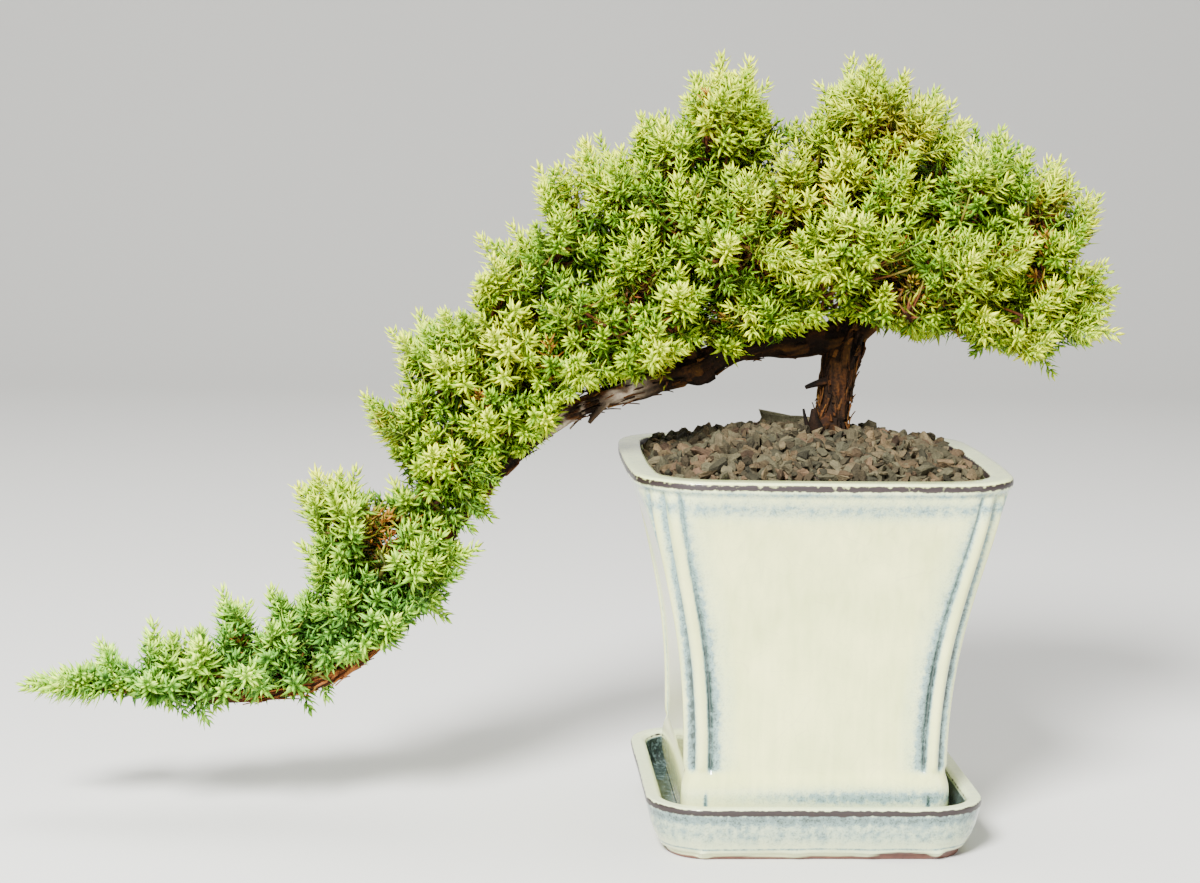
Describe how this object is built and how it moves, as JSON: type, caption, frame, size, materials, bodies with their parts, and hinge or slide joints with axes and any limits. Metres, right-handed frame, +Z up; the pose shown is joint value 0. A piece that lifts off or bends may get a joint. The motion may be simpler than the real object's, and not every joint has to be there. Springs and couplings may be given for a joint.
{
  "type": "potted bonsai tree",
  "caption": "Cascading juniper bonsai with a domed crown and a long arching low branch, planted under gravel in a tall square glazed pot that stands in a matching saucer.",
  "frame": {"origin": "middle of the flat underside of the saucer's foot", "axes": "+Z up; +X towards the crown's overhanging end, so the long low branch falls towards -X; -Y towards the front of the tree"},
  "size_m": [0.4479, 0.1556, 0.3176],
  "materials": {
    "pot_glaze": "gloss cream glaze breaking to blue-grey in the grooves, bare brown clay at the rim",
    "saucer_glaze": "gloss pale blue-grey glaze over a bare brown clay foot",
    "plastic_mesh": "matt",
    "soil": "granular, matt",
    "gravel": "angular crushed stone, matt",
    "bark": "flaky stringy bark, matt",
    "pale_needles": "yellow-green scale and needle foliage, satin",
    "green_needles": "mid-green needle foliage, satin",
    "blue_needles": "blue-green needle foliage, satin"
  },
  "bodies": {
    "root": {"saucer": "saucer_glaze", "pot": "pot_glaze", "drain_mesh": "plastic_mesh", "soil": "soil", "gravel": "gravel", "trunk_and_branches": "bark", "needles_crown_right_end": "green_needles", "needles_crown_right_shoulder": "pale_needles", "needles_crown_right_top_front": "pale_needles", "needles_crown_right_top_back": "pale_needles", "needles_crown_right_low_front": "green_needles", "needles_crown_right_low_back": "green_needles", "needles_crown_right_front": "pale_needles", "needles_crown_right_back": "pale_needles", "needles_crown_low_middle_front": "green_needles", "needles_crown_low_middle_back": "green_needles", "needles_crown_peak_front": "pale_needles", "needles_crown_peak_back": "pale_needles", "needles_crown_saddle": "pale_needles", "needles_crown_middle_front": "pale_needles", "needles_crown_middle_back": "pale_needles", "needles_crown_second_peak_front": "pale_needles", "needles_crown_second_peak_back": "pale_needles", "needles_crown_low_left_front": "green_needles", "needles_crown_low_left_back": "green_needles", "needles_crown_left_front": "pale_needles", "needles_crown_left_back": "pale_needles", "needles_crown_left_shoulder_front": "pale_needles", "needles_crown_left_shoulder_back": "pale_needles", "needles_crown_left_side_front": "green_needles", "needles_crown_left_side_back": "green_needles", "needles_bend_top": "pale_needles", "needles_bend_side_front": "green_needles", "needles_bend_side_back": "green_needles", "needles_bend_outside_front": "green_needles", "needles_bend_outside_back": "green_needles", "needles_bend_inside_front": "green_needles", "needles_bend_inside_back": "green_needles", "needles_fall_top": "green_needles", "needles_fall_side_front": "green_needles", "needles_fall_side_back": "green_needles", "needles_fall_outside_front": "green_needles", "needles_fall_outside_back": "green_needles", "needles_fall_inside_front": "green_needles", "needles_fall_inside_back": "green_needles", "needles_fall_tuft": "green_needles", "needles_fall_middle_front": "green_needles", "needles_fall_middle_back": "green_needles", "needles_fall_knee": "blue_needles", "needles_fall_low_front": "blue_needles", "needles_fall_low_back": "blue_needles", "needles_foot_inside_front": "blue_needles", "needles_foot_inside_back": "blue_needles", "needles_foot_tuft": "blue_needles", "needles_tail_tuft": "blue_needles", "needles_tail_side_front": "blue_needles", "needles_tail_side_back": "blue_needles", "needles_tail_low": "blue_needles", "needles_tail_end": "blue_needles", "needles_tail_tip": "blue_needles"}
  },
  "joints": []
}
